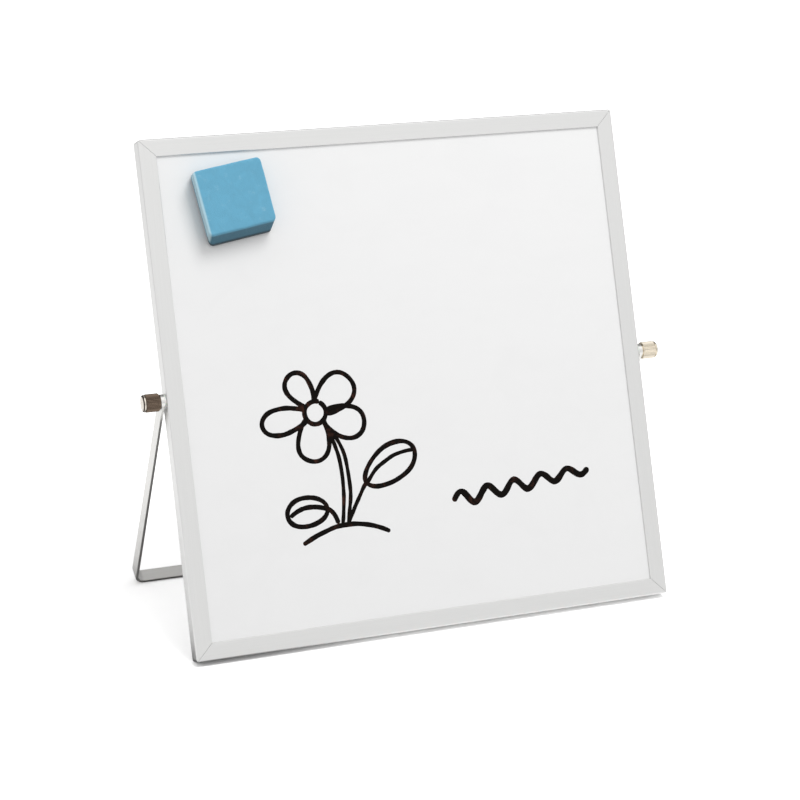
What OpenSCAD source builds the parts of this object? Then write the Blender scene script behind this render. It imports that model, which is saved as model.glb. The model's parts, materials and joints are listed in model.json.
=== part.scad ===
// Desktop whiteboard that stands on a swinging U-shaped bar.
//
// A square two-sided steel panel sits in a mitred frame of hollow aluminium
// extrusion. One bent flat bar straddles the frame. It turns on two thumb
// screws at mid-height, so the board can be leant, folded flat or turned over.
// A small magnetic foam eraser clings to the front.
//
// X runs to the right, Y to the back and Z up. The origin is in the middle of
// the footprint, on the surface that the board stands on.

/* [Board] */
// Outer width of the frame
board_w = 254; // [160:1:420]
// Outer height of the frame
board_h = 254; // [160:1:420]
// Thickness of the frame, front to back
board_t = 9; // [8.5:0.1:14]
// Lean of the board from the vertical when it stands
lean = 21.3; // [12:0.1:35]

/* [Frame extrusion] */
// Width of the frame's visible face
face_w = 8.6; // [7.6:0.1:16]
// Thickness of the lips over the panel's edge
lip_t = 1; // [0.8:0.1:1.2]
// Thickness of the outer wall
wall_t = 1; // [0.8:0.1:1.4]
// Thickness of the web between the chamber and the panel's channel
web_t = 0.8; // [0.6:0.1:1.2]
// Width of the chamber that holds the corner keys
chamber_w = 2.8; // [2.2:0.1:3.4]
// Radius of the rounded outer edges
arris_r = 0.8; // [0.3:0.1:0.9]
// Radius of the frame's four outer corners
corner_r = 1.6; // [0.5:0.1:2.2]
// Radius of the lips' inner edges
lip_r = 0.3; // [0.1:0.05:0.4]
// Width of the hairline gap between two rails at a mitre
mitre_gap = 0.1; // [0.04:0.01:0.3]

/* [Corner keys] */
// Length of a key's leg
key_leg = 24; // [12:1:40]
// Clearance round a key or an insert in the chamber
key_gap = 0.1; // [0.05:0.01:0.3]
// Depth of the bites that lock a key in its rail
key_barb = 0.6; // [0.3:0.1:0.9]

/* [Panel] */
// Thickness of each coated steel sheet
sheet_t = 0.4; // [0.2:0.05:0.6]
// Gap between a sheet and the lip in front of it
lip_gap = 0.05; // [0.02:0.01:0.2]
// Gap between the panel's edge and the web
panel_gap = 0.3; // [0.1:0.1:0.8]

/* [Stand] */
// Width of the stand's flat bar
strip_w = 7.4; // [6:0.1:9]
// Thickness of the stand's flat bar
strip_t = 1.7; // [1.2:0.1:2.5]
// Radius of the bar's rolled edges
strip_edge_r = 0.4; // [0.1:0.1:0.5]
// Inside radius of the two bends
bend_r = 3.5; // [2:0.1:5]
// Space between the frame's end and the crossbar as the stand swings past
swing_gap = 4.3; // [2.5:0.1:12]

/* [Pivots] */
// Radius of the screws' studs
stud_r = 2; // [1.5:0.1:2.2]
// Running clearance round a stud, in the bar and in the insert
stud_gap = 0.06; // [0.02:0.01:0.1]
// Running gap between flat faces that turn on each other
face_gap = 0.05; // [0.02:0.01:0.1]
// Depth of a threaded insert in its side rail
insert_l = 10; // [7:0.5:16]
// Wall of the insert's barrel
insert_wall = 0.8; // [0.5:0.1:0.8]
// Length of the insert's block in the chamber
insert_block = 12; // [8:0.5:20]
// Thickness of the washer between the frame and the bar
washer_t = 0.8; // [0.5:0.1:1.5]
// Outer radius of the washer
washer_r = 3.6; // [3:0.1:4.4]

/* [Knobs] */
// Radius of a knob over its knurl
knob_r = 4.45; // [3.8:0.05:8]
// Length of a knob
knob_l = 9.2; // [6:0.05:14]
// Radius of the collar that bears on the bar
collar_r = 3.5; // [2.8:0.1:3.7]
// Length of the collar
collar_l = 0.6; // [0.3:0.1:1]
// Length of the plain rim at the outer end
rim_l = 1.5; // [1:0.1:2]
// Number of ridges in the knurl
knurl_count = 40; // [24:2:48]
// Depth of the knurl
knurl_depth = 0.25; // [0.1:0.05:0.4]
// How far a stud is pressed into its knob
socket_l = 4; // [2.5:0.1:4.5]

/* [Eraser] */
// Width of the eraser's outer face
eraser_w = 35.5; // [30:0.5:60]
// Height of the eraser's outer face
eraser_h = 32; // [25:0.5:60]
// Thickness of the eraser with its felt
eraser_t = 10; // [8:0.5:30]
// How far the lower side slopes out at the felt
eraser_slope = 4.6; // [0:0.1:8]
// How far the left and right sides draw in at the felt
eraser_draw = 1.2; // [0:0.1:2]
// Radius of the eraser's upright corners
eraser_corner_r = 2.2; // [0.5:0.1:5]
// Turn of the eraser on the board, to the left
eraser_turn = 9; // [-15:1:15]
// From the left lip to the middle of the eraser's outer face
eraser_in = 34.3; // [34:0.1:60]
// From the top lip to the middle of the eraser's outer face
eraser_down = 23.1; // [22:0.1:60]
// Thickness of the wiping felt
felt_t = 1.6; // [1:0.1:3]
// How far the felt's edge lies inside the foam's
felt_inset = 0.5; // [0.2:0.1:2]
// Width of the magnet strip
magnet_w = 24; // [12:0.5:24]
// Height of the magnet strip
magnet_h = 16; // [10:0.5:22]
// Thickness of the magnet strip
magnet_t = 1.5; // [0.8:0.1:3]

/* [Hidden] */

// How far a cutting tool runs past the face it cuts
past = 1;
$fn = 48;

// From the frame's outer edge to the panel's edge, and the channel's half height
panel_edge = wall_t + chamber_w + web_t + panel_gap;
channel_half = board_t / 2 - lip_t;
// Height of the visible panel face above the board's middle plane
sheet_face = channel_half - lip_gap;
core_t = 2 * (sheet_face - sheet_t);

// Radius of the holes that a stud passes through, and of the insert's barrel
stud_hole_r = stud_r + stud_gap;
insert_r = stud_hole_r + insert_wall;

// Where the stand's bar and the knobs lie, out from the middle of the board
arm_in = board_w / 2 + face_gap + washer_t;
arm_out = arm_in + strip_t;
knob_seat = arm_out + face_gap;
// From the pivot to the crossbar's outer face
arm_l = board_h / 2 + swing_gap + strip_t;

// The board rests on its lower back edge, the stand on its crossbar's front edge.
// Both edges are rounded, so each is an arc's centre and a radius.
board_up = board_h / 2 - arris_r;
board_out = board_t / 2 - arris_r;
stand_up = arm_l - strip_edge_r;
stand_out = strip_w / 2 - strip_edge_r;
pivot_z = board_up * cos(lean) + board_out * sin(lean) + arris_r;
// The stand's own lean from the vertical, at which it reaches the same surface
stand_lean = atan(stand_out / stand_up)
    + acos((pivot_z - strip_edge_r) / norm([stand_up, stand_out]));
// Angle between the board and the stand
spread = lean + stand_lean;
// How far the board and the stand reach in front of the pivot and behind it
board_reach = board_up * sin(lean) + board_out * cos(lean) + arris_r;
stand_reach = stand_up * sin(stand_lean) + stand_out * cos(stand_lean) + strip_edge_r;
pivot_y = (board_reach - max(board_reach, stand_reach)) / 2;

// The middle of the eraser's outer face, on the board
eraser_x = -board_w / 2 + face_w + eraser_in;
eraser_y = board_h / 2 - face_w - eraser_down;
// Size of the eraser where the foam meets the felt
base_w = eraser_w - 2 * eraser_draw;
base_h = eraser_h + eraser_slope;

// Puts what is drawn flat, face up, round the pivot into the leaning board
module on_board() {
    translate([0, pivot_y, pivot_z])
    rotate([90 - lean, 0, 0])
    children();
}

// The same for the stand, whose arms are drawn from the pivot along -Y
module on_stand() {
    translate([0, pivot_y, pivot_z])
    rotate([90 - lean + spread, 0, 0])
    children();
}

// Turns what stands on Z so that it points out of the right or left side (side = 1, -1)
module out_of_side(side, distance) {
    mirror([side < 0 ? 1 : 0, 0, 0])
    translate([distance, 0, 0])
    rotate([0, 90, 0])
    children();
}

// What is left of a corner square when a round corner is taken out of it
module corner_waste(r) {
    difference() {
        square(r + past);
        circle(r);
    }
}

module rounded_rectangle(w, h, r) {
    difference() {
        square([w, h], center = true);
        for (mx = [0, 1], my = [0, 1])
            mirror([mx, 0])
            mirror([0, my])
            translate([w / 2 - r, h / 2 - r])
            corner_waste(r);
    }
}

// Section of the extrusion: outer edge at x = 0, panel channel open towards +x
module rail_profile() {
    difference() {
        translate([0, -board_t / 2])
        square([face_w, board_t]);
        for (side = [0, 1])
            mirror([0, side])
            translate([arris_r, board_t / 2 - arris_r])
            mirror([1, 0])
            corner_waste(arris_r);
        for (side = [0, 1])
            mirror([0, side])
            translate([face_w - lip_r, board_t / 2 - lip_r])
            corner_waste(lip_r);
        // chamber for the corner keys
        translate([wall_t, -channel_half])
        square([chamber_w, 2 * channel_half]);
        // channel for the panel
        translate([wall_t + chamber_w + web_t, -channel_half])
        square([face_w, 2 * channel_half]);
    }
}

// A rail along X with its outer edge on the X axis and its ends mitred.
// Each end is set back by half the mitre's gap, measured along X.
module rail(length) {
    set_back = mitre_gap / 2 * sqrt(2);
    outer = length / 2 - set_back;
    inner = outer - face_w;
    difference() {
        intersection() {
            rotate([90, 0, 90])
            translate([0, 0, -length / 2])
            linear_extrude(length)
            rail_profile();
            linear_extrude(2 * board_t, center = true)
            polygon([[-outer, 0], [outer, 0], [inner, face_w], [-inner, face_w]]);
        }
        for (end = [0, 1])
            mirror([end, 0, 0])
            translate([length / 2 - corner_r, corner_r, 0])
            mirror([0, 1, 0])
            linear_extrude(2 * board_t, center = true)
            corner_waste(corner_r);
    }
}

// A side rail has a hole at mid-length for its threaded insert
module side_rail() {
    difference() {
        rail(board_h);
        translate([0, -past, 0])
        rotate([-90, 0, 0])
        cylinder(r = insert_r + key_gap / 2, h = face_w + past);
    }
}

module frame_top_rail() {
    color("gainsboro")
    on_board()
    translate([0, board_h / 2, 0])
    rotate([0, 0, 180])
    rail(board_w);
}

module frame_bottom_rail() {
    color("gainsboro")
    on_board()
    translate([0, -board_h / 2, 0])
    rail(board_w);
}

module frame_left_rail() {
    color("gainsboro")
    on_board()
    translate([-board_w / 2, 0, 0])
    rotate([0, 0, -90])
    side_rail();
}

module frame_right_rail() {
    color("gainsboro")
    on_board()
    translate([board_w / 2, 0, 0])
    rotate([0, 0, 90])
    side_rail();
}

// Angled key that joins two rails inside their chambers, drawn for the corner
// at the top right. Shallow bites in its inner edges take the rails' stake marks.
module corner_key() {
    key_w = chamber_w - 2 * key_gap;
    outer_x = board_w / 2 - wall_t - key_gap;
    outer_y = board_h / 2 - wall_t - key_gap;
    bite_share = 0.7;
    bite_at = bite_share * key_leg;
    linear_extrude(2 * (channel_half - key_gap), center = true)
    difference() {
        polygon([[outer_x - key_leg, outer_y], [outer_x - key_w / 2, outer_y],
            [outer_x, outer_y - key_w / 2], [outer_x, outer_y - key_leg],
            [outer_x - key_w, outer_y - key_leg], [outer_x - key_w, outer_y - key_w],
            [outer_x - key_leg, outer_y - key_w]]);
        translate([outer_x - bite_at, outer_y - key_w])
        rotate(45)
        square(key_barb * sqrt(2), center = true);
        translate([outer_x - key_w, outer_y - bite_at])
        rotate(45)
        square(key_barb * sqrt(2), center = true);
    }
}

module corner_key_at(left, bottom) {
    color("dimgray")
    on_board()
    mirror([left, 0, 0])
    mirror([0, bottom, 0])
    corner_key();
}

// The panel's plate, whose edge hides in the channels all round
module panel_plate(thickness) {
    linear_extrude(thickness)
    square([board_w - 2 * panel_edge, board_h - 2 * panel_edge], center = true);
}

module front_sheet() {
    color("white")
    on_board()
    translate([0, 0, sheet_face - sheet_t])
    panel_plate(sheet_t);
}

module back_sheet() {
    color("white")
    on_board()
    translate([0, 0, -sheet_face])
    panel_plate(sheet_t);
}

// Light core between the sheets, notched at both sides round the inserts
module core_panel() {
    notch_depth = insert_l + panel_gap;
    color("burlywood")
    on_board()
    difference() {
        translate([0, 0, -core_t / 2])
        panel_plate(core_t);
        for (side = [-1, 1])
            translate([side * board_w / 2, 0, 0])
            cube([2 * notch_depth, 2 * (insert_r + panel_gap), 2 * board_t], center = true);
    }
}

// Threaded insert, flush with the frame's side. Its block stops it turning.
module pivot_insert(side) {
    color("silver")
    on_board()
    out_of_side(side, board_w / 2 - insert_l)
    difference() {
        union() {
            cylinder(r = insert_r, h = insert_l);
            translate([-(channel_half - key_gap), -insert_block / 2,
                insert_l - wall_t - chamber_w + key_gap])
            cube([2 * (channel_half - key_gap), insert_block, chamber_w - 2 * key_gap]);
        }
        translate([0, 0, -past])
        cylinder(r = stud_hole_r, h = insert_l + 2 * past);
    }
}

module strip_section() {
    rounded_rectangle(strip_t, strip_w, strip_edge_r);
}

// One bar bent into a U. Its arms run from the pivot along -Y to the crossbar.
module stand_bar() {
    bend_x = arm_in - bend_r;
    bend_y = arm_l - strip_t - bend_r;
    color("silver")
    on_stand()
    difference() {
        union() {
            for (side = [0, 1])
                mirror([side, 0, 0]) {
                    translate([arm_in + strip_t / 2, strip_w / 2, 0])
                    rotate([90, 0, 0])
                    linear_extrude(strip_w / 2 + bend_y)
                    strip_section();
                    translate([bend_x, -bend_y, 0])
                    rotate([0, 0, -90])
                    rotate_extrude(angle = 90)
                    translate([bend_r + strip_t / 2, 0])
                    strip_section();
                }
            translate([-bend_x, strip_t / 2 - arm_l, 0])
            rotate([90, 0, 90])
            linear_extrude(2 * bend_x)
            strip_section();
        }
        // both ends are rounded about the pivot
        for (side = [0, 1])
            mirror([side, 0, 0])
            translate([arm_in - past, 0, 0])
            difference() {
                translate([0, 0, -strip_w])
                cube([strip_t + 2 * past, strip_w, 2 * strip_w]);
                rotate([0, 90, 0])
                cylinder(r = strip_w / 2, h = strip_t + 2 * past);
            }
        for (side = [-1, 1])
            out_of_side(side, arm_in - past)
            cylinder(r = stud_hole_r, h = strip_t + 2 * past);
    }
}

module washer(side) {
    color("whitesmoke")
    on_board()
    out_of_side(side, arm_in - washer_t)
    difference() {
        cylinder(r = washer_r, h = washer_t);
        translate([0, 0, -past])
        cylinder(r = stud_hole_r, h = washer_t + 2 * past);
    }
}

// Knurled part of a knob: a ring of straight ridges
module knurl(length) {
    linear_extrude(length)
    polygon([for (i = [0 : 2 * knurl_count - 1])
        let (r = knob_r - (i % 2) * knurl_depth, a = 180 * i / knurl_count)
        [r * cos(a), r * sin(a)]]);
}

// Turned knob with a collar, a knurled grip and a plain rim with a crowned end
module knob(side) {
    chamfer = 0.3;
    crown = 0.35;
    rim_drop = 0.15;
    rim_r = knob_r - rim_drop;
    edge_r = 0.9;
    rim_z = knob_l - rim_l;
    groove_w = 0.4;
    groove_depth = 0.3;
    core_r = knob_r - knurl_depth - groove_depth;
    color("tan")
    on_board()
    out_of_side(side, knob_seat)
    difference() {
        union() {
            rotate_extrude()
            polygon(concat(
                [[0, 0], [collar_r, 0], [collar_r, collar_l],
                    [core_r, collar_l], [core_r, rim_z], [rim_r, rim_z]],
                [for (a = [0 : 15 : 75])
                    [rim_r - edge_r * (1 - cos(a)), knob_l - crown - edge_r * (1 - sin(a))]],
                [[rim_r - edge_r, knob_l - crown], [0, knob_l]]));
            intersection() {
                translate([0, 0, collar_l])
                knurl(rim_z - groove_w - collar_l);
                translate([0, 0, collar_l])
                cylinder(r1 = knob_r - chamfer, r2 = knob_r - chamfer + knob_l, h = knob_l);
            }
        }
        translate([0, 0, -past])
        cylinder(r = stud_r, h = socket_l + past);
    }
}

// Stud from the knob's socket through the bar, the washer and the insert
module stud(side) {
    tip = 0.6;
    reach = insert_l - panel_gap - tip;
    color("lightgray")
    on_board()
    out_of_side(side, board_w / 2 - reach) {
        cylinder(r = stud_r, h = reach + knob_seat - board_w / 2 + socket_l);
        translate([0, 0, -tip])
        cylinder(r1 = stud_r - tip, r2 = stud_r, h = tip);
    }
}

// Puts a piece of the eraser on the front sheet, felt side down
module on_front() {
    on_board()
    translate([eraser_x, eraser_y, sheet_face + face_gap])
    rotate([0, 0, eraser_turn])
    children();
}

// The foam's two profiles cross: one has the sloping lower side for the fingers,
// the other has the sides that draw in towards the felt.
module foam_block() {
    intersection() {
        rotate([90, 0, 90])
        linear_extrude(eraser_w, center = true)
        polygon([[eraser_h / 2 - base_h, felt_t], [eraser_h / 2, felt_t],
            [eraser_h / 2, eraser_t], [-eraser_h / 2, eraser_t]]);
        rotate([90, 0, 0])
        linear_extrude(2 * base_h, center = true)
        polygon([[-base_w / 2, felt_t], [base_w / 2, felt_t],
            [eraser_w / 2, eraser_t], [-eraser_w / 2, eraser_t]]);
        translate([0, (eraser_h - base_h) / 2, 0])
        linear_extrude(eraser_t)
        rounded_rectangle(eraser_w, base_h, eraser_corner_r);
    }
}

module eraser_foam() {
    color("steelblue")
    on_front()
    difference() {
        foam_block();
        translate([-magnet_w / 2, -magnet_h / 2, felt_t - past])
        cube([magnet_w, magnet_h, magnet_t + past]);
    }
}

module eraser_magnet() {
    color("black")
    on_front()
    translate([-magnet_w / 2, -magnet_h / 2, felt_t])
    cube([magnet_w, magnet_h, magnet_t]);
}

module eraser_felt() {
    color("slategray")
    on_front()
    translate([0, (eraser_h - base_h) / 2, 0])
    linear_extrude(felt_t)
    rounded_rectangle(base_w - 2 * felt_inset, base_h - 2 * felt_inset, eraser_corner_r);
}

frame_top_rail();
frame_bottom_rail();
frame_left_rail();
frame_right_rail();
corner_key_at(1, 0);  // corner_key_top_left
corner_key_at(0, 0);  // corner_key_top_right
corner_key_at(1, 1);  // corner_key_bottom_left
corner_key_at(0, 1);  // corner_key_bottom_right
front_sheet();
back_sheet();
core_panel();
pivot_insert(-1);  // left_insert
pivot_insert(1);  // right_insert
stand_bar();
washer(-1);  // left_washer
washer(1);  // right_washer
knob(-1);  // left_knob
stud(-1);  // left_stud
knob(1);  // right_knob
stud(1);  // right_stud
eraser_foam();
eraser_magnet();
eraser_felt();
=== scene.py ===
"""Desk whiteboard easel: finishes, ink, eraser, studio and camera."""

import json
import math
import random

import bmesh
import bpy
from mathutils import Matrix, Vector, noise


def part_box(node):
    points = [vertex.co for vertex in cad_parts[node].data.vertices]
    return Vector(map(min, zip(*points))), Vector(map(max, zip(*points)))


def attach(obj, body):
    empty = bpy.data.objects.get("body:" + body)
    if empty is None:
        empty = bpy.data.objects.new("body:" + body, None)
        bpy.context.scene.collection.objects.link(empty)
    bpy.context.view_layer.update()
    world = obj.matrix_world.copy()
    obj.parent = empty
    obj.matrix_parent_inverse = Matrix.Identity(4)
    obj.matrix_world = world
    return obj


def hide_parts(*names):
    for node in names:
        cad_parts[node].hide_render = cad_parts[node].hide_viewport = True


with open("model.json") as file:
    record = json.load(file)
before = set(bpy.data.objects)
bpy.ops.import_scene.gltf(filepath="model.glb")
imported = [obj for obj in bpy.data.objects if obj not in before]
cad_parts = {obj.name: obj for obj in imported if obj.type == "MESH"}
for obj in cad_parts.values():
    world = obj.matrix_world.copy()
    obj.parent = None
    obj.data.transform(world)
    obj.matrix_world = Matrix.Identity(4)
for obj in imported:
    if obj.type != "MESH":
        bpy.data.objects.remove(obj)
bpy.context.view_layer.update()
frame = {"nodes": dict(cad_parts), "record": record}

MM = 0.001
scene = bpy.context.scene
record = frame["record"]

NOISE_SEED, PEN_SEED = 4, 7
noise.seed_set(NOISE_SEED)  # without it, noise_vector differs from run to run


# Camera, where the photograph was taken from

CAMERA_AT = (-0.3954, -1.0009, 0.4769)
CAMERA_TURN = 21.46  # degrees to the right of +Y
CAMERA_DIP = 19.10  # degrees below the horizon
CAMERA_ROLL = 1.0
FOCAL_LENGTH = 100.75  # millimetres on a 36 mm sensor


def make_camera():
    camera = bpy.data.objects.new("camera", bpy.data.cameras.new("camera"))
    camera.data.sensor_width = 36
    camera.data.lens = FOCAL_LENGTH
    camera.matrix_world = (
        Matrix.Translation(CAMERA_AT)
        @ Matrix.Rotation(math.radians(-CAMERA_TURN), 4, "Z")
        @ Matrix.Rotation(math.radians(90 - CAMERA_DIP), 4, "X")
        @ Matrix.Rotation(math.radians(CAMERA_ROLL), 4, "Z")
    )
    scene.collection.objects.link(camera)
    scene.camera = camera


make_camera()


# Axes of the leaning parts, from the frame's record


def axes(origin, right, outward):
    """Matrix whose columns are a part's right, up and outward axes."""
    right, outward = Vector(right), Vector(outward)
    up = outward.cross(right)
    turn = Matrix((right, up, outward)).transposed().to_4x4()
    return Matrix.Translation(origin) @ turn


mounts = {mount["name"]: mount for mount in record["mounts"]}
joints = {joint["name"]: joint for joint in record["behaviour"]["joints"]}
writing_face = mounts["writing_face"]
pivot = joints["stand_swing"]["pos_m"]

# The board's axes: u to the right, v up the board and n out of its front
BOARD = axes(writing_face["pos_m"], (1, 0, 0), writing_face["axis"])

# The eraser, in millimetres and degrees: it lies on the board, turned a little to the left
ERASER_TURN = 9
ERASER_FACE = (35.5, 32.0)
ERASER_SLOPE = 4.6  # how far the lower side slopes out at the felt
ERASER_DRAW = 1.2  # how far the left and right sides draw in at the felt
ERASER_CORNER = 2.2
ERASER_GAP = 0.05  # between the felt and the sheet
FELT_THICKNESS = 1.6
FELT_INSET = 0.5
FOAM_THICKNESS = 8.4


def stand_axes():
    """Axes of the stand: u to the right, v from the crossbar up to the pivot."""
    low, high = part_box("stand_bar")
    crossbar = Vector((0, high[1], low[2]))
    up = (Vector(pivot) - crossbar).normalized()
    return axes(pivot, (1, 0, 0), Vector((1, 0, 0)).cross(up))


STAND = stand_axes()


def eraser_axes():
    """Axes of the eraser, on the sheet under the middle of its outer face."""
    low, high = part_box("eraser_magnet")
    middle = BOARD.inverted() @ ((Vector(low) + Vector(high)) / 2)
    on_sheet = Matrix.Translation((middle.x, middle.y, ERASER_GAP * MM))
    return BOARD @ on_sheet @ Matrix.Rotation(math.radians(ERASER_TURN), 4, "Z")


ERASER = eraser_axes()


# Shader maths


def feed(tree, socket, value):
    """Links a value that varies to a socket, or sets the socket to one that doesn't."""
    if isinstance(value, Value):
        tree.links.new(value.socket, socket)
    else:
        socket.default_value = value


class Value:
    """A number or a vector that varies over a surface, used in plain arithmetic."""

    def __init__(self, tree, socket):
        self.tree = tree
        self.socket = socket

    def maths(self, operation, *values):
        node = self.tree.nodes.new("ShaderNodeMath")
        node.operation = operation
        for socket, value in zip(node.inputs, values):
            feed(self.tree, socket, value)
        return Value(self.tree, node.outputs[0])

    def __add__(self, other):
        return self.maths("ADD", self, other)

    def __sub__(self, other):
        return self.maths("SUBTRACT", self, other)

    def __rsub__(self, other):
        return self.maths("SUBTRACT", other, self)

    def __mul__(self, other):
        return self.maths("MULTIPLY", self, other)

    def __truediv__(self, other):
        return self.maths("DIVIDE", self, other)

    def __pow__(self, other):
        return self.maths("POWER", self, other)

    def __abs__(self):
        return self.maths("ABSOLUTE", self)

    def over(self, limit):
        return self.maths("GREATER_THAN", self, limit)

    __radd__ = __add__
    __rmul__ = __mul__


class Nodes:
    """The node tree of a material or of the world."""

    def __init__(self, tree):
        self.tree = tree

    def node(self, kind, settings=None, inputs=None, output=0):
        """Adds a node, sets it up, feeds its sockets and returns one output."""
        node = self.tree.nodes.new("ShaderNode" + kind)
        for name, value in (settings or {}).items():
            setattr(node, name, value)
        for name, value in (inputs or {}).items():
            feed(self.tree, node.inputs[name], value)
        return Value(self.tree, node.outputs[output])

    def mix(self, factor, first, second):
        """Colour between first, at factor 0, and second, at factor 1."""
        factor_socket, first_socket, second_socket, colour_output = 0, 6, 7, 2
        inputs = {factor_socket: factor, first_socket: first, second_socket: second}
        return self.node("Mix", {"data_type": "RGBA"}, inputs, colour_output)

    def split(self, vector):
        return [self.node("SeparateXYZ", None, {"Vector": vector}, i) for i in range(3)]

    def smooth_step(self, value, low, high):
        """0 at low and 1 at high, with a soft change between them. low may be the larger."""
        settings = {"interpolation_type": "SMOOTHSTEP"}
        inputs = {"Value": value, "From Min": low, "From Max": high}
        return self.node("MapRange", settings, inputs)

    def band(self, value, rise, fall):
        """1 between two soft edges, each given as where it is 0 and where it is 1."""
        return self.smooth_step(value, *rise) * self.smooth_step(value, *fall)


class Finish(Nodes):
    """A material with one Principled shader."""

    def __init__(self, name, **constants):
        self.material = bpy.data.materials.new(name)
        self.material.use_nodes = True
        super().__init__(self.material.node_tree)
        self.shader = self.tree.nodes["Principled BSDF"]
        for socket, value in constants.items():
            self.set(socket.replace("_", " "), value)

    def set(self, socket, value):
        feed(self.tree, self.shader.inputs[socket], value)

    def millimetres(self, place=Matrix(), stretch=(1, 1, 1)):
        """Position in a part's own axes, in millimetres, stretched for a pattern."""
        at = self.node("TexCoord", None, None, "Object")
        inverse = place.inverted()
        inputs = {
            "Location": inverse.translation / MM,
            "Rotation": inverse.to_euler(),
            "Scale": (1 / MM,) * 3,
        }
        turned = self.node("Mapping", None, {"Vector": at, **inputs})
        return self.node("Mapping", None, {"Vector": turned, "Scale": stretch})

    def noise(self, at, scale, detail=2.0, roughness=0.5, distortion=0.0):
        """Smooth noise from 0 to 1, with about scale changes in each millimetre of at."""
        inputs = {"Vector": at, "Scale": scale, "Detail": detail}
        inputs.update({"Roughness": roughness, "Distortion": distortion})
        return self.node("TexNoise", None, inputs)

    def bump(self, height, depth):
        """Raises the surface by height, from 0 to 1, times depth in millimetres."""
        inputs = {"Height": height, "Distance": depth * MM, "Strength": 1.0}
        self.set("Normal", self.node("Bump", None, inputs))


def shade(red, green, blue):
    """Linear colour of a shade read off a screen, from 0 to 255."""
    def linear(level):
        part = level / 255
        return part / 12.92 if part <= 0.04045 else ((part + 0.055) / 1.055) ** 2.4
    return (linear(red), linear(green), linear(blue), 1.0)


def grey(level):
    return (level, level, level, 1.0)


def tinted(colour, factor):
    """The same colour, darker for a factor under 1 and lighter over 1."""
    return tuple(part * factor for part in colour[:3]) + (1.0,)


# Metals


def anodised_aluminium(name, along):
    """Satin rails with a fine grain along their length, u (0) or v (1)."""
    colour = shade(227, 227, 226)
    finish = Finish(name, Metallic=1.0)
    grain = [2.2, 2.2, 2.2]
    grain[along] = 0.03
    lines = finish.noise(finish.millimetres(BOARD, grain), 1.0, 3.0, 0.6)
    at = finish.millimetres(BOARD)
    clouds = finish.noise(at, 0.02, 3.0)
    scratch = [0.9, 0.9, 0.9]
    scratch[along] = 0.06
    marks = finish.noise(finish.millimetres(BOARD, scratch), 0.7, 6.0, 0.75, 0.6)
    nicks = finish.smooth_step(marks, 0.70, 0.74)
    tone = finish.mix(lines, tinted(colour, 0.955), tinted(colour, 1.02))
    finish.set("Base Color", finish.mix(nicks * 0.35, tone, tinted(colour, 1.06)))
    finish.set("Roughness", 0.27 + 0.08 * lines + 0.05 * clouds - 0.06 * nicks)
    finish.bump(lines - 0.5 * nicks, 0.004)
    return finish.material


def satin_nickel():
    """The stand's bar, brushed along its arms and along its crossbar."""
    arms_start = 124.0  # millimetres from the middle of the crossbar
    colour = shade(226, 225, 222)
    finish = Finish("satin nickel", Metallic=1.0)
    at = finish.millimetres(STAND)
    across = finish.split(at)[0]
    arms = abs(across).over(arms_start)
    down_arms = finish.noise(finish.millimetres(STAND, (2.5, 0.03, 2.5)), 1.0, 3.0, 0.6)
    on_bar = finish.noise(finish.millimetres(STAND, (0.03, 2.5, 2.5)), 1.0, 3.0, 0.6)
    grain = arms * down_arms + (1 - arms) * on_bar
    clouds = finish.noise(at, 0.05, 3.0)
    finish.set("Base Color", finish.mix(grain, tinted(colour, 0.93), tinted(colour, 1.03)))
    finish.set("Roughness", 0.24 + 0.1 * grain + 0.06 * clouds)
    finish.bump(grain, 0.004)
    return finish.material


def bright_nickel(name, grip, rim):
    """A knob's plating: a grip colour, a lighter rim colour as a painted highlight on the rim,
    painted shade on the rounded edge of its end, and turned rings on its end.
    """
    rim_starts, edge_starts = 137.3, 137.9  # millimetres from the middle of the board
    end_radius = 3.5
    blur = 0.1
    finish = Finish(name, Metallic=1.0)
    at = finish.millimetres(Matrix.Translation(pivot))
    across, back, up = finish.split(at)
    radius = (back * back + up * up) ** 0.5
    rings = finish.node("CombineXYZ", None, {"X": radius, "Y": 0.0, "Z": 0.0})
    turned = finish.noise(rings, 3.0, 2.0)
    marks = finish.noise(at, 0.9, 4.0, 0.6)
    worn = finish.smooth_step(marks, 0.55, 0.75)
    out = abs(across)
    # Painted highlight: from rim_starts outwards the rim takes the lighter rim colour
    rim_highlight = finish.smooth_step(out, rim_starts - blur, rim_starts + blur)
    # Painted shade: the rounded edge of the end is darkened
    edge_shade = finish.smooth_step(out, edge_starts - blur, edge_starts + blur)
    edge_shade = edge_shade * radius.over(end_radius)
    plating_lit_and_shaded = finish.mix(edge_shade, finish.mix(rim_highlight, grip, rim), tinted(grip, 0.35))
    finish.set("Base Color", finish.mix(worn * 0.4, plating_lit_and_shaded, tinted(grip, 0.8)))
    finish.set("Roughness", 0.16 + 0.08 * turned + 0.08 * worn)
    finish.bump(turned + 0.5 * marks, 0.002)
    return finish.material


def zinc_plate():
    """The corner keys and inserts: cloudy zinc, yellowed in places."""
    colour, yellowed = shade(178, 182, 186), shade(196, 186, 160)
    finish = Finish("zinc plate", Metallic=1.0)
    cloud = finish.noise(finish.millimetres(BOARD), 0.35, 4.0, 0.6)
    sheen = finish.mix(cloud, tinted(colour, 0.8), colour)
    finish.set("Base Color", finish.mix(finish.smooth_step(cloud, 0.5, 0.7), sheen, yellowed))
    finish.set("Roughness", 0.3 + 0.2 * cloud)
    finish.bump(cloud, 0.01)
    return finish.material


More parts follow.
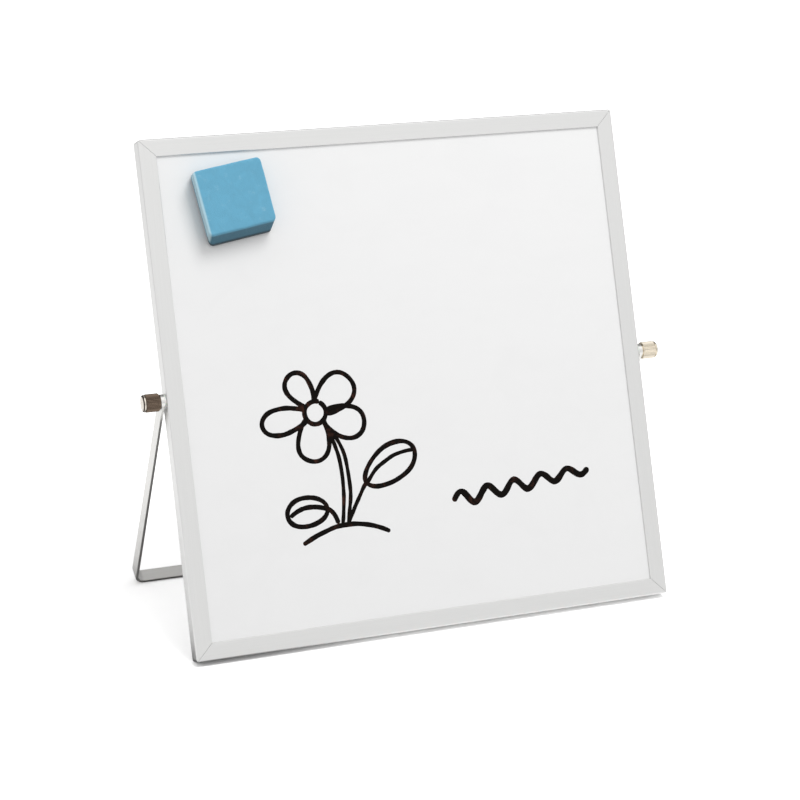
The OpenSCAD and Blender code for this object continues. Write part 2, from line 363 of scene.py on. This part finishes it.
def threaded_steel():
    """The studs: the thread is a helix worked out round the pivot's axis, with painted shade in its
    grooves.
    """
    thread_pitch = 0.7  # millimetres
    colour = shade(186, 186, 188)
    finish = Finish("threaded steel", Metallic=1.0)
    across, back, up = finish.split(finish.millimetres(Matrix.Translation(pivot)))
    angle = finish.node("Math", {"operation": "ARCTAN2"}, {0: up, 1: back})
    turns = across / thread_pitch + angle / (2 * math.pi)
    slope = finish.node("Math", {"operation": "PINGPONG"}, {0: turns, 1: 0.5}) * 2
    # Painted shade: the thread's grooves are darker than its crests
    finish.set("Base Color", finish.mix(slope, tinted(colour, 0.55), colour))
    finish.set("Roughness", 0.42 - 0.14 * slope)
    finish.bump(slope, 0.3)
    return finish.material


# Panel, washers and eraser


def board_enamel():
    """Glossy white coating with faint wiping marks and the ghost of old ink."""
    colour = shade(241, 241, 241)
    finish = Finish("board enamel", Specular_IOR_Level=0.5)
    at = finish.millimetres(BOARD)
    wipes = finish.noise(finish.millimetres(BOARD, (0.02, 0.09, 0.02)), 1.0, 4.0, 0.55, 0.6)
    haze = finish.smooth_step(wipes, 0.36, 0.76)
    ghosts = finish.smooth_step(finish.noise(at, 0.03, 3.0, 0.5, 1.0), 0.48, 0.72)
    ripple = finish.noise(at, 0.12, 1.0)
    tone = finish.mix(haze * 0.5, colour, tinted(colour, 0.985))
    finish.set("Base Color", finish.mix(ghosts * 0.4, tone, tinted(colour, 0.975)))
    finish.set("Roughness", 0.20 + 0.05 * haze)
    finish.bump(ripple, 0.012)
    return finish.material


def core_paper():
    """Honeycomb paper core, seen only when the panel is taken apart."""
    colour = shade(190, 160, 118)
    finish = Finish("core paper", Roughness=0.9)
    at = finish.millimetres(BOARD)
    to_edge = {"feature": "DISTANCE_TO_EDGE"}
    cells = finish.node("TexVoronoi", to_edge, {"Vector": at, "Scale": 0.12})
    walls = 1 - finish.smooth_step(cells, 0.02, 0.09)
    fibre = finish.noise(at, 2.0, 4.0)
    finish.set("Base Color", finish.mix(walls * 0.6 + fibre * 0.3, colour, tinted(colour, 0.6)))
    finish.bump(walls + 0.2 * fibre, 0.2)
    return finish.material


def nylon():
    """The washers: moulded, a little translucent."""
    colour = shade(232, 231, 226)
    finish = Finish("nylon", Subsurface_Weight=0.15, Subsurface_Scale=0.001)
    cloud = finish.noise(finish.millimetres(), 1.5, 3.0)
    finish.set("Base Color", finish.mix(cloud, tinted(colour, 0.93), colour))
    finish.set("Roughness", 0.42 + 0.12 * cloud)
    finish.bump(cloud, 0.02)
    return finish.material


def magnet_rubber():
    """The eraser's magnet: matt rubber with a fine grit."""
    colour = shade(46, 44, 43)
    finish = Finish("magnet rubber")
    grit = finish.noise(finish.millimetres(), 6.0, 4.0)
    finish.set("Base Color", finish.mix(grit, tinted(colour, 0.7), colour))
    finish.set("Roughness", 0.6 + 0.2 * grit)
    finish.bump(grit, 0.03)
    return finish.material


def blue_foam():
    """Closed-cell foam: tiny cells with painted shade in their pits, a mottled tone, painted shade
    on its lower side, darker towards the felt, and a painted highlight on its left.
    """
    colour, rubbed_pale = shade(105, 173, 203), shade(176, 214, 230)
    # A pale blue for the painted highlight on the left side, and the dark blue for the painted
    # shade and for the darkening near the felt
    highlight_pale, shade_blue = shade(205, 232, 238), shade(24, 52, 64)
    left, lower = -ERASER_FACE[0] / 2, -ERASER_FACE[1] / 2
    top = FELT_THICKNESS + FOAM_THICKNESS
    finish = Finish("blue foam", Sheen_Weight=0.1, Sheen_Roughness=0.5)
    at = finish.millimetres(ERASER)
    across, up, out = finish.split(at)
    cells = finish.node("TexVoronoi", None, {"Vector": at, "Scale": 3.2})
    mottle = finish.noise(at, 0.16, 4.0, 0.6, 0.8)
    rubbed = finish.smooth_step(finish.noise(at, 0.28, 5.0, 0.7), 0.56, 0.74)
    tone = finish.mix(mottle, tinted(colour, 0.84), tinted(colour, 1.12))
    # Painted shade: the cells' pits are darkened
    pit_shade = finish.smooth_step(cells, 0.25, 0.05)
    pit_shaded = finish.mix(pit_shade * 0.25, tone, tinted(colour, 0.7))
    worn = finish.mix(rubbed * 0.22, pit_shaded, rubbed_pale)
    # Painted shade: the lower, sloped side is darkened as if shaded from the light above
    lower_side_shade = finish.smooth_step(out, top - 0.4, top - 1.8)
    lower_side_shade = lower_side_shade * finish.smooth_step(up, lower + 1.5, lower - 0.5)
    # Darker towards the felt
    near_felt = finish.smooth_step(out, FELT_THICKNESS + 2.6, FELT_THICKNESS + 0.2)
    # Painted shade on the lower side, together with the darkening near the felt
    shade_and_darkening = lower_side_shade * 0.6 + near_felt * 0.4 + 0.1 * lower_side_shade * mottle
    darkened = finish.mix(shade_and_darkening, worn, shade_blue)
    # Painted highlight: a pale stripe along the left side, where light catches it
    left_highlight = finish.smooth_step(across, left + 1.85, left + 0.75)
    left_highlight = left_highlight * finish.smooth_step(out, FELT_THICKNESS + 0.4, FELT_THICKNESS + 3.4)
    finish.set("Base Color", finish.mix(left_highlight * 0.65, darkened, highlight_pale))
    finish.set("Roughness", 0.72 + 0.15 * mottle)
    finish.bump(cells + 0.8 * mottle, 0.08)
    return finish.material


def pressed_felt():
    """The wiping felt: matted fibres, smudged with ink. Its dark blue-grey is partly the felt's own
    colour and partly painted shade at the eraser's base.
    """
    # Dark blue-grey, made darker as painted shade at the base
    colour, inky = shade(66, 96, 116), shade(38, 40, 44)
    finish = Finish("pressed felt", Roughness=0.95, Sheen_Weight=0.5, Sheen_Roughness=0.6)
    at = finish.millimetres(BOARD)
    fibres = finish.noise(at, 2.6, 6.0, 0.75, 2.5)
    smudge = finish.smooth_step(finish.noise(at, 0.2, 3.0), 0.5, 0.7)
    tone = finish.mix(fibres, tinted(colour, 0.6), tinted(colour, 1.3))
    finish.set("Base Color", finish.mix(smudge * 0.5, tone, inky))
    finish.bump(fibres, 0.3)
    return finish.material


def marker_ink():
    """Dry-wipe ink: near black, brown where it is thin."""
    near_black, brown = shade(12, 9, 7), shade(62, 38, 30)
    finish = Finish("marker ink", Specular_IOR_Level=0.06)
    pools = finish.noise(finish.millimetres(BOARD), 0.16, 4.0, 0.65, 1.0)
    thin = finish.smooth_step(pools, 0.52, 0.74)
    finish.set("Base Color", finish.mix(thin, near_black, brown))
    finish.set("Roughness", 0.5 + 0.3 * thin)
    finish.bump(pools, 0.01)
    return finish.material


def dress_nodes():
    """Gives each node that stays, seen or hidden, its material."""
    keys = [f"corner_key_{end}_{side}" for end in ("top", "bottom") for side in ("left", "right")]
    # The left knob has the same nickel as the right one, painted dark: a painted reflection of the
    # dark surroundings it mirrors
    shaded = bright_nickel("smoked nickel", shade(108, 94, 82), shade(222, 214, 202))
    bright = bright_nickel("bright nickel", shade(221, 212, 196), shade(228, 220, 205))
    finishes = [
        (anodised_aluminium("anodised rails, level", 0), ["frame_top_rail", "frame_bottom_rail"]),
        (anodised_aluminium("anodised rails, upright", 1), ["frame_left_rail", "frame_right_rail"]),
        (zinc_plate(), keys + ["left_insert", "right_insert"]),
        (board_enamel(), ["front_sheet", "back_sheet"]),
        (core_paper(), ["core_panel"]),
        (satin_nickel(), ["stand_bar"]),
        (nylon(), ["left_washer", "right_washer"]),
        (threaded_steel(), ["left_stud", "right_stud"]),
        (shaded, ["left_knob"]),
        (bright, ["right_knob"]),
        (magnet_rubber(), ["eraser_magnet"]),
    ]
    for material, names in finishes:
        for name in names:
            mesh = frame["nodes"][name].data
            mesh.materials.clear()
            mesh.materials.append(material)


dress_nodes()


# Pieces made here


def finished(name, bm, place, material, body):
    """Turns a bmesh drawn in millimetres into a piece that rides on a body."""
    bmesh.ops.transform(bm, matrix=place @ Matrix.Scale(MM, 4), verts=bm.verts)
    bmesh.ops.recalc_face_normals(bm, faces=bm.faces)
    mesh = bpy.data.meshes.new(name)
    bm.to_mesh(mesh)
    bm.free()
    mesh.materials.append(material)
    mesh.shade_smooth()
    piece = bpy.data.objects.new(name, mesh)
    scene.collection.objects.link(piece)
    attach(piece, body)
    return piece


def soft_block(face, base, height, corner, rim, cell=1.2):
    """Block that stands on z = 0, with round upright corners and a round upper rim.

    face and base are the (left, right, lower, upper) limits of its upper and lower sides.
    cell is the size of the small faces that it is cut into.
    """
    nearly = 1e-4
    bm = bmesh.new()
    bmesh.ops.create_cube(bm, size=1)
    for vert in bm.verts:
        limits = face if vert.co.z > 0 else base
        vert.co.x = limits[1 if vert.co.x > 0 else 0]
        vert.co.y = limits[3 if vert.co.y > 0 else 2]
        vert.co.z = height if vert.co.z > 0 else 0

    def bevel(edges, offset, segments):
        bmesh.ops.bevel(bm, geom=edges, offset=offset, offset_type="OFFSET", segments=segments,
                        profile=0.5, affect="EDGES", material=-1)

    bevel([e for e in bm.edges if abs(e.verts[0].co.z - e.verts[1].co.z) > height / 2], corner, 8)
    bevel([e for e in bm.edges if min(v.co.z for v in e.verts) > height - nearly], rim, 5)
    low = [min(limit) for limit in zip(face, base)]
    high = [max(limit) for limit in zip(face, base)]
    spans = ((low[0], high[1]), (low[2], high[3]), (0, height))
    for axis, (start, end) in enumerate(spans):
        normal = Vector([float(axis == i) for i in range(3)])
        cuts = int((end - start) / cell)
        for cut in range(1, cuts):
            point = normal * (start + (end - start) * cut / cuts)
            geometry = bm.verts[:] + bm.edges[:] + bm.faces[:]
            bmesh.ops.bisect_plane(bm, geom=geometry, plane_co=point, plane_no=normal, dist=nearly)
    return bm


def limits_of(width, height, lower=0.0, inset=0.0):
    """(left, right, lower, upper) limits of a rectangle that reaches further down by lower."""
    across, up = width / 2 - inset, height / 2 - inset
    return (-across, across, -up - lower, up)


def make_foam():
    """Foam is slack: its faces wander and sink a little, but not where the felt is glued on."""
    slack, unevenness, sag = 0.22, 0.05, 0.1  # millimetres
    face = limits_of(*ERASER_FACE)
    base = limits_of(ERASER_FACE[0] - 2 * ERASER_DRAW, ERASER_FACE[1], ERASER_SLOPE)
    bm = soft_block(face, base, FOAM_THICKNESS, ERASER_CORNER, rim=0.7)
    for vert in bm.verts:
        free = vert.co.z / FOAM_THICKNESS
        wander = slack * noise.noise_vector(0.09 * vert.co)
        wander += unevenness * noise.noise_vector(0.5 * vert.co)
        vert.co += Vector((wander.x, wander.y, wander.z - sag)) * free
    place = ERASER @ Matrix.Translation((0, 0, FELT_THICKNESS * MM))
    foam = finished("eraser_foam_block", bm, place, blue_foam(), "eraser")
    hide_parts("eraser_foam")


def make_felt():
    """The felt stands back a little from the foam, and its cut edge is frayed."""
    edge_starts = 0.97  # as a share of the way out
    fray_depth = 0.15
    base = limits_of(ERASER_FACE[0] - 2 * ERASER_DRAW, ERASER_FACE[1], ERASER_SLOPE, FELT_INSET)
    left, right, lower, upper = base
    bm = soft_block(base, base, FELT_THICKNESS, ERASER_CORNER, rim=0.2)
    for vert in bm.verts:
        across, up, _ = vert.co
        if max(across / left, across / right, up / lower, up / upper) > edge_starts:
            fray = fray_depth * noise.noise_vector(0.9 * vert.co)
            vert.co += Vector((fray.x, fray.y, 0))
    felt = finished("eraser_felt_pad", bm, ERASER, pressed_felt(), "eraser")
    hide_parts("eraser_felt")


make_foam()
make_felt()


# Ink on the board: a five-petalled flower and a wavy line, drawn with a marker.
# Lengths are in millimetres and angles in degrees, from the right and turning left.

INK_HEIGHT = 0.035
FLOWER_AT = Vector((-52.8, -13.6))  # from the middle of the board
THIN_PEN, PEN, BROAD_PEN = 2.05, 2.45, 3.3
RANDOM = random.Random(PEN_SEED)


def heading(angle):
    """Unit vector at an angle."""
    return Vector((math.cos(math.radians(angle)), math.sin(math.radians(angle))))


def arc(middle, radius, start, end, steps=40):
    """Points round middle from one angle to another."""
    angles = [start + (end - start) * i / steps for i in range(steps + 1)]
    return [Vector(middle) + radius * heading(angle) for angle in angles]


def sweep(start, bend, end, steps=24):
    """Points on the curve from start to end that is pulled towards bend."""
    start, bend, end = Vector(start), Vector(bend), Vector(end)
    parts = [i / steps for i in range(steps + 1)]
    return [(1 - t) ** 2 * start + 2 * t * (1 - t) * bend + t * t * end for t in parts]


def loop(start, direction, reach, width, taper, root=0.0, steps=44):
    """Loop out from start and back: a petal or a leaf, open by root where it starts.

    taper runs from 0, an oval, to 1, a drop that is slim at its start.
    """
    along = heading(direction)
    aside = Vector((-along.y, along.x))
    points = []
    for step in range(steps + 1):
        turn = 2 * math.pi * step / steps
        out = (1 - math.cos(turn)) / 2
        half = width / 2 * math.sin(turn) * (1 - taper + taper * out)
        half += root / 2 * math.cos(turn / 2)
        points.append(Vector(start) + along * reach * out + aside * half)
    return points


def pen_tube(name, points, width):
    """Round tube along the points, which shakes and swells as a pen's line does."""
    shake, slow_swell, quick_swell = 0.35, 0.18, 0.10
    lengths = [0.0]
    for before, after in zip(points, points[1:]):
        lengths.append(lengths[-1] + (after - before).length)
    total = lengths[-1]
    curve = bpy.data.curves.new(name, "CURVE")
    curve.dimensions = "3D"
    curve.bevel_depth = width / 2
    curve.bevel_resolution = 2
    curve.use_fill_caps = True
    spline = curve.splines.new("POLY")
    spline.points.add(len(points) - 1)
    phase = RANDOM.uniform(0, 100)
    for control, point, length in zip(spline.points, points, lengths):
        off = shake * noise.noise_vector(Vector((length * 0.12, phase, 0)))
        press = 1 + slow_swell * noise.noise(Vector((length * 0.22, phase, 5)))
        press += quick_swell * noise.noise(Vector((length * 1.1, phase, 9)))
        end = min(length, total - length) / (width / 2)
        rounding = math.sqrt(max(0.02, 1 - (1 - end) ** 2)) if end < 1 else 1
        control.co = (point.x + off.x, point.y + off.y, 0, 1)
        control.radius = press * rounding
    drawn = bpy.data.objects.new(name, curve)
    scene.collection.objects.link(drawn)
    graph = bpy.context.evaluated_depsgraph_get()
    mesh = bpy.data.meshes.new_from_object(drawn.evaluated_get(graph))
    bpy.data.objects.remove(drawn)
    bm = bmesh.new()
    bm.from_mesh(mesh)
    bpy.data.meshes.remove(mesh)
    bmesh.ops.remove_doubles(bm, verts=bm.verts, dist=1e-4)
    return bm


def stroke(name, points, width, material):
    """A pen stroke: a tube along the points, pressed flat on to the sheet."""
    bm = pen_tube(name, points, width)
    flat = Matrix.Diagonal((1, 1, INK_HEIGHT / (width / 2), 1))
    bmesh.ops.transform(bm, matrix=flat, verts=bm.verts)
    finished(name, bm, BOARD, material, "board")


def round_ends(points, width):
    """Adds points where a stroke starts and stops, so that its ends come out round."""
    first, last = points[0], points[-1]
    to_first = (first - points[1]).normalized()
    to_last = (last - points[-2]).normalized()
    ends = [0.04, 0.16, 0.34, 0.6]
    head = [first + to_first * (width / 2) * (0.5 - part) for part in ends]
    tail = [last + to_last * (width / 2) * (0.5 - part) for part in reversed(ends)]
    return head + points[1:-1] + tail


def draw_flower(ink):
    """Petals, each with its direction, reach, width, taper and root, and the eye."""
    eye_radius = 5.6
    petals = [(119, 22.8, 13.3, 0.6, 4.3), (38, 25.0, 16.8, 0.6, 7.5), (-21, 26.3, 17.0, 0.5, 4.1),
              (-100, 24.0, 14.9, 0.6, 8.0), (188, 28.2, 13.0, 0.6, 4.7)]
    for number, (direction, reach, width, taper, root) in enumerate(petals, 1):
        inset = math.sqrt(eye_radius ** 2 - (root / 2) ** 2)
        start = FLOWER_AT + inset * heading(direction)
        petal = loop(start, direction, reach - inset, width, taper, root)
        stroke(f"ink_petal_{number}", round_ends(petal, PEN), PEN, ink)
    stroke("ink_eye", arc(FLOWER_AT, eye_radius, 60, 428), PEN, ink)


def draw_stem(ink):
    """Lines, each with its pen, start, bend and end, and leaves, as in loop.

    Places are given from the flower's middle.
    """
    lines = {
        "ink_stem_left": (THIN_PEN, (5.0, -7.0), (14.2, -28.0), (7.6, -56.0)),
        "ink_stem_right": (THIN_PEN, (8.0, -10.5), (18.0, -28.0), (10.6, -56.5)),
        "ink_right_stalk": (THIN_PEN, (22.4, -37.2), (17.0, -44.0), (11.4, -55.0)),
        "ink_right_vein": (THIN_PEN, (22.6, -37.2), (33.0, -24.0), (48.2, -23.6)),
        "ink_left_vein": (PEN, (-18.4, -49.5), (-9.0, -43.0), (0.7, -47.8)),
        "ink_left_stalk": (PEN, (0.5, -47.6), (4.2, -50.0), (5.6, -55.2)),
        "ink_ground": (PEN, (-13.4, -63.6), (10.0, -50.5), (31.6, -62.4)),
    }
    leaves = {
        "ink_right_leaf": ((22.4, -37.2), 29.5, 30.5, 19.8, 0.25),
        "ink_left_leaf": ((0.6, -47.4), 184.0, 21.0, 14.8, 0.1),
    }
    for name, (pen, *places) in lines.items():
        line = sweep(*(FLOWER_AT + Vector(place) for place in places))
        stroke(name, round_ends(line, pen), pen, ink)
    for name, (start, *shape) in leaves.items():
        leaf = loop(FLOWER_AT + Vector(start), *shape)
        stroke(name, round_ends(leaf, PEN), PEN, ink)


def draw_wave(ink):
    """A plain wavy line to the right of the flower, whose waves get lower."""
    start, end = Vector((15.0, -65.0)), Vector((90.0, -57.5))
    waves, swell, loss, steps = 5, 3.6, 0.35, 100
    points = []
    for step in range(steps + 1):
        part = step / steps
        lift = swell * (1 - loss * part) * math.sin(2 * math.pi * waves * part)
        points.append(start.lerp(end, part) + Vector((0.0, lift)))
    stroke("ink_wave", round_ends(points, BROAD_PEN), BROAD_PEN, ink)


ink = marker_ink()
draw_flower(ink)
draw_stem(ink)
draw_wave(ink)


# Studio: a brightness of 1 is white


def ray(nodes, kind):
    """1 for what a kind of ray sees: Camera, Glossy or Transmission."""
    return nodes.node("LightPath", None, None, f"Is {kind} Ray")


def make_world():
    """Soft studio. To metal it is white round about, brightest above the front, dark behind."""
    world = bpy.data.worlds.new("studio")
    scene.world = world
    world.use_nodes = True
    nodes = Nodes(world.node_tree)
    low_light, high_light = grey(0.60), grey(0.79)
    low_wall, high_wall, softbox, dark_wall = grey(0.82), grey(1.06), grey(1.35), grey(0.33)
    _, back, height = nodes.split(nodes.node("TexCoord", None, None, "Generated"))
    as_light = nodes.mix(nodes.smooth_step(height, -0.1, 0.8), low_light, high_light)
    round_about = nodes.mix(nodes.smooth_step(height, 0.2, 0.5), low_wall, high_wall)
    lit = nodes.mix(nodes.smooth_step(height, 0.62, 0.75), round_about, softbox)
    behind = nodes.smooth_step(back, 0.0, 0.2) * nodes.smooth_step(height, 0.15, 0.4)
    in_metal = nodes.mix(behind, lit, dark_wall)
    seen = nodes.mix(ray(nodes, "Glossy"), as_light, in_metal)
    seen_straight = ray(nodes, "Camera") + ray(nodes, "Transmission")
    background = world.node_tree.nodes["Background"]
    feed(world.node_tree, background.inputs["Color"], nodes.mix(seen_straight, seen, grey(1.0)))
    background.inputs["Strength"].default_value = 1.0


def make_floor():
    """Pale floor, white to the lens but for the shadows under the object.

    Metal sees it pale too, with a dark card on it under the left arm and one far behind the
    object, which draw the dark lines along the metal's edges. The cards' soft edges are in
    metres.
    """
    as_light, to_lens, to_metal, dark_card = grey(0.50), grey(1.50), grey(1.05), grey(0.18)
    bm = bmesh.new()
    bmesh.ops.create_grid(bm, x_segments=1, y_segments=1, size=6.0)
    mesh = bpy.data.meshes.new("floor")
    bm.to_mesh(mesh)
    bm.free()
    floor = bpy.data.objects.new("floor", mesh)
    scene.collection.objects.link(floor)
    material = bpy.data.materials.new("floor")
    material.use_nodes = True
    nodes = Nodes(material.node_tree)
    shader = material.node_tree.nodes["Principled BSDF"]
    shader.inputs["Roughness"].default_value = 1.0
    shader.inputs["Specular IOR Level"].default_value = 0.0
    across, back, _ = nodes.split(nodes.node("TexCoord", None, None, "Object"))
    near_card = nodes.band(across, (-0.145, -0.125), (-0.02, -0.11))
    near_card = near_card * nodes.band(back, (-0.09, -0.05), (0.12, 0.04))
    far_card = nodes.band(across, (-0.12, -0.06), (0.75, 0.55))
    far_card = far_card * nodes.smooth_step(back, 0.24, 0.30)
    in_metal = nodes.mix(near_card + far_card, to_metal, dark_card)
    colour = nodes.mix(ray(nodes, "Glossy"), as_light, in_metal)
    colour = nodes.mix(ray(nodes, "Camera"), colour, to_lens)
    feed(material.node_tree, shader.inputs["Base Color"], colour)
    mesh.materials.append(material)


def make_lamp(name, at, aim, size, power):
    """Soft lamp that points from at to aim. Metal doesn't show it."""
    lamp = bpy.data.lights.new(name, "AREA")
    lamp.shape = "RECTANGLE"
    lamp.size, lamp.size_y = size
    lamp.energy = power
    holder = bpy.data.objects.new(name, lamp)
    holder.location = at
    holder.rotation_euler = (Vector(at) - Vector(aim)).to_track_quat("Z", "Y").to_euler()
    holder.visible_glossy = False
    scene.collection.objects.link(holder)


make_world()
make_floor()
make_lamp("softbox above", at=(0.32, -0.55, 1.6), aim=(0, 0, 0.12), size=(0.7, 0.7), power=13)
scene.view_settings.view_transform = "Standard"
